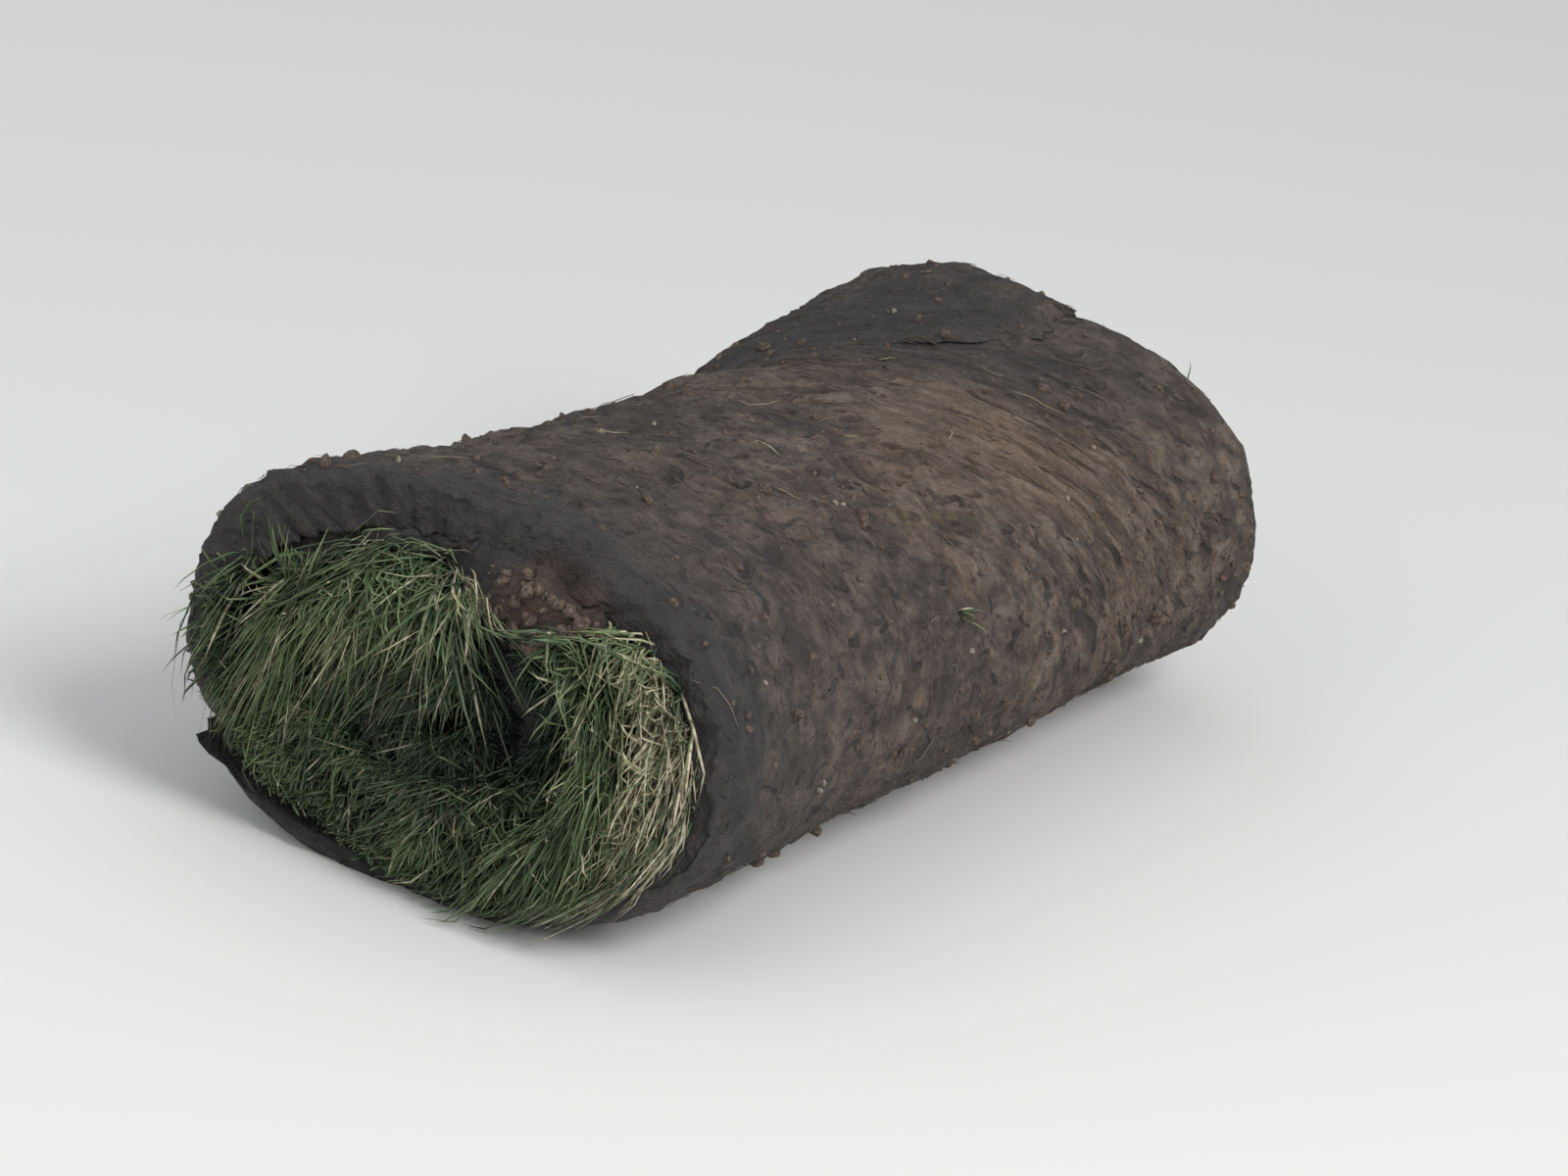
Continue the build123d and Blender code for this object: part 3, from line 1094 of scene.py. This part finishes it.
def fringe_paths(count, seed):
    """Blades that lie between the free edge and the turn below."""
    pick = np.random.default_rng(seed)
    across = pick.uniform(*fringe_across, count)
    begin = pick.uniform(0.006, 0.020, count)
    length = pick.gamma(5, 0.0028, count).clip(*fringe_lengths)
    slant = pick.normal(0, 0.5, count)
    along = begin[:, None] - levels * length[:, None] * np.cos(slant)[:, None]
    sideways = across[:, None] + levels * length[:, None] * np.sin(slant)[:, None]
    depth = fringe_depth + fringe_rise * levels + pick.uniform(-0.1, 0.06, (count, 1))
    depth = depth - fringe_rise * levels**2 * pick.uniform(0, 1, (count, 1))
    paths = rolled(along.ravel(), sideways.ravel(), depth.ravel()).reshape(count, -1, 3)
    # painted shade for the blades lying under the free edge
    straw_and_highlight, painted_shade = pick.uniform(0, 0.7, count), pick.uniform(0.2, 0.9, count)
    looks = np.stack([straw_and_highlight, painted_shade, pick.uniform(0, 0.6, count)], axis=-1)
    return paths, pick.normal(0, 1, (count, 3)), looks


def stray_paths(places, count, seed):
    """A few blades standing up from each place, named by how far along the strip and across it."""
    pick = np.random.default_rng(seed)
    paths, looks = [], []
    for along, across in places:
        foot_along = along + pick.normal(0, stray_spread, count)
        foot_across = across + pick.normal(0, stray_spread, count)
        foot = laid_on_soil(rolled(foot_along, foot_across, np.zeros(count)), np.full(count, stray_root))
        middle = np.array([centre_x, 0, centre_height(np.array([across]))[0]])
        out = unit((foot - middle) * (1, 0, 1))
        lean = unit(out + pick.normal(0, 0.45, (count, 3)) + (0, 0, 0.25))
        length = pick.uniform(*stray_lengths, count)
        step = levels[None, :, None] * length[:, None, None]
        path = foot[:, None, :] + lean[:, None, :] * step
        path[:, :, 2:3] -= step**2 / stray_bend
        paths.append(path)
        straw_and_highlight, chance = pick.uniform(0.2, 1, count), pick.uniform(0.5, 1, count)
        looks.append(np.stack([straw_and_highlight, np.zeros(count), chance], axis=-1))
    faces = pick.normal(0, 1, (count * len(places), 3))
    return np.concatenate(paths), faces, np.concatenate(looks)


def curled_blade():
    """One dry blade that lies in a curl, drawn as an arc and laid on the soil."""
    angle = np.radians(40 + 210 * levels)
    arc = curl_size * np.stack([np.cos(angle), np.sin(angle), 0 * angle], axis=-1)
    path = laid_on_soil(np.array(curl_place) + arc, 0.001 + 0.004 * levels)
    return path[None], np.array([(0.0, 0.0, 1.0)]), np.array([(1.0, 0.0, 1.0)])


kinds = [fringe_paths(180, 41), stray_paths(strays, stray_blades, 42), curled_blade()]
paths, faces_to, looks = [np.concatenate(parts) for parts in zip(*kinds)]
widths = np.random.default_rng(43).uniform(0.0010, 0.0022, len(paths))
loose = shoots_along("edge_grass", paths, widths, np.full(len(paths), 0.0005), faces_to, looks)
add_to_model(loose, grass)


# %% [markdown]
# Roots. The cut side of the mat is felted with fine roots, most of them brown with soil and a few pale. They
# lie as the cutter's blade drew them, more or less along the strip, and so round the roll. A bump alone
# wouldn't show at the outline, so they are real shoots: short and wavy, laid on the rough soil and partly
# sunk in it, with a few loose ends that stand up.

# %% Root finish
def root_finish():
    root = Finish("fine_roots", Roughness=0.75)
    looks = root.attribute("looks")
    shade, chance = root.axis(looks, "X"), root.axis(looks, "Z")
    fibre = root.blend(shade, colour(58, 49, 43), colour(108, 93, 79))
    fibre = root.blend(chance.clear_of(0.96, 0.99), fibre, colour(158, 145, 118))
    root.feed(root.shader.inputs["Base Color"], fibre)
    return root


root = root_finish()
print("root finish:", len(root.nodes), "nodes")


# %% Roots on the outside
root_lengths, root_widths, root_flatness = (0.004, 0.032), (0.0003, 0.0007), 0.8
root_slant, root_bend, root_wave = 0.9, 1.1, 0.0008
loose_share, loose_rise = 0.02, 0.003


def lay_roots(name, count, seed):
    pick = np.random.default_rng(seed)
    along = pick.uniform(0.004, split_along - 0.02, count)
    across = pick.uniform(-0.300, 0.300, count)
    length = pick.gamma(3, 0.004, count).clip(*root_lengths)
    slant = pick.normal(0, root_slant, count)
    bend = pick.normal(0, root_bend, count)
    step = (levels[None, :] - 0.5) * length[:, None]
    way = slant[:, None] + bend[:, None] * (levels[None, :] - 0.5)
    wave = pick.normal(0, root_wave, (count, len(levels)))
    path_along = np.clip(along[:, None] + step * np.cos(way), 0.001, split_along)
    path_across = across[:, None] + step * np.sin(way) + wave
    raised = pick.uniform(-0.0006, 0.0008, (count, 1)) + pick.uniform(0, 0.0007, (count, len(levels)))
    lifted = (pick.uniform(0, 1, (count, 1)) > 1 - loose_share) * levels[None, :] ** 2 * loose_rise
    paths = rolled(path_along.ravel(), path_across.ravel(), np.zeros(path_along.size))
    paths = laid_on_soil(paths, (raised + lifted).ravel()).reshape(count, -1, 3)
    faces_to = unit(pick.normal(0, 1, (count, 3)))
    widths = pick.uniform(*root_widths, count)
    looks = np.stack([pick.uniform(0, 1, count), np.zeros(count), pick.uniform(0, 1, count)], axis=-1)
    piece = shoots_along(name, paths, widths, widths * root_flatness, faces_to, looks)
    add_to_model(piece, root)


lay_roots("roots", 2400, 31)


# %% [markdown]
# Crumbs and stones. Small clods of soil cling to the roots, and a few pale stones are bedded among them. More
# clods lie on the bare soil of the notch. One lump is modelled from a coarse ball whose points are pushed in
# and out, and then copied with many sizes and turns.

# %% Model one lump
bpy.ops.object.select_all(action="DESELECT")
bpy.ops.mesh.primitive_ico_sphere_add(subdivisions=2, radius=0.5)
lump = bpy.context.object
lump.name = "lump"
bpy.ops.object.mode_set(mode="EDIT")
bpy.ops.mesh.select_all(action="SELECT")
bpy.ops.transform.vertex_random(offset=0.17, seed=5)
bpy.ops.transform.resize(value=(1.25, 0.9, 0.7))
bpy.ops.mesh.normals_make_consistent(inside=False)
bpy.ops.object.mode_set(mode="OBJECT")
lump_points = points_of(lump)
lump_faces = np.array([list(face.vertices) for face in lump.data.polygons])
bpy.data.objects.remove(lump)
print("one lump:", len(lump_points), "points,", len(lump_faces), "faces")


# %% [markdown]
# Soil and stone are one material, and a number that each lump carries says which it is. The lumps lie on the
# rough soil like the roots. Physics could drop them there, but they stick to the damp soil on every side, so
# they are set in place and only turned by chance.

# %% Lump finish
stone_share = 0.08


def lump_finish():
    crumb = Finish("crumbs_and_stones", Roughness=0.9)
    shade = Wire(crumb, crumb.attribute("shade", "Fac"))
    place = crumb.node("ShaderNodeTexCoord").outputs["Object"]
    grain = crumb.noise(place, 700.0, 3.0)
    dirt = crumb.blend(grain.clear_of(0.3, 0.7), colour(52, 43, 38), colour(104, 88, 75))
    stone = crumb.blend(grain.clear_of(0.3, 0.7), colour(100, 92, 82), colour(148, 138, 122))
    is_stone = shade.clear_of(1 - stone_share, 1.02 - stone_share)
    crumb.feed(crumb.shader.inputs["Base Color"], crumb.blend(is_stone, dirt, stone))
    return crumb


# %% Scatter lumps
clod_sizes, stone_sizes = (0.0014, 0.0080), (0.0016, 0.0036)
notch_lumps, notch_lump_sizes, notch_spread = 130, (0.0013, 0.0075), (0.019, 0, 0.013)
before_end = (0, 0.02, 0)
lump_bed = 0.0003


def notch_places(pick):
    """Places for the clods on the bare soil of the notch, at the face of the near end."""
    front = BVHTree.FromObject(inner_turns, bpy.context.evaluated_depsgraph_get())
    spots = np.array(notch_middle) + pick.normal(0, 1, (notch_lumps, 3)) * notch_spread - before_end
    return np.array([front.find_nearest(Vector(spot))[0] for spot in spots])


def lumps_at(places, sizes, spins):
    """The points and faces of one lump at each place, with its own size and turn."""
    points = np.einsum("nij,vj->nvi", spins, lump_points) * sizes[:, None, None] + places[:, None, :]
    points[:, :, 2] = np.maximum(points[:, :, 2], lump_bed)
    faces = lump_faces[None] + np.arange(len(places))[:, None, None] * len(lump_points)
    return points.reshape(-1, 3).tolist(), faces.reshape(-1, 3).tolist()


def scatter_lumps(name, count, seed):
    pick = np.random.default_rng(seed)
    along = pick.uniform(0.003, split_along - 0.02, count)
    across = pick.uniform(-0.302, 0.302, count)
    size = pick.gamma(2.2, 0.0012, count).clip(*clod_sizes)
    shade = pick.uniform(0, 1, count)
    size = np.where(shade > 1 - stone_share, size.clip(*stone_sizes), size)
    place = laid_on_soil(rolled(along, across, np.zeros(count)), np.zeros(count))
    place = np.concatenate([place, notch_places(pick)])
    size = np.concatenate([size, pick.gamma(2.2, 0.0015, notch_lumps).clip(*notch_lump_sizes)])
    shade = np.concatenate([shade, pick.uniform(0, 0.93, notch_lumps)])
    place[:, 2] = np.maximum(place[:, 2], size * 0.4)
    spin, _ = np.linalg.qr(pick.normal(0, 1, (len(place), 3, 3)))
    spin *= np.sign(np.linalg.det(spin))[:, None, None]

    points, faces = lumps_at(place, size, spin)
    mesh = bpy.data.meshes.new(name)
    mesh.from_pydata(points, [], faces)
    mesh.update()
    piece = bpy.data.objects.new(name, mesh)
    scene.collection.objects.link(piece)
    keep_number(piece, "shade", np.repeat(shade, len(lump_points)))
    shade_smooth(piece)
    add_to_model(piece, lump_finish())
    print(f"{name}: {len(place)} lumps")


scatter_lumps("crumbs", 1000, 51)


# %% [markdown]
# Last, the triangles are counted, because a part that others will use shouldn't be heavy.

# %% Count the triangles and finish
meshes = [o for o in scene.objects if o.type == "MESH" and o.name not in ("turf_roll", "floor")]
triangles = {o.name: sum(len(face.vertices) - 2 for face in o.data.polygons) for o in meshes}
print("triangles:", triangles, "in all:", sum(triangles.values()))
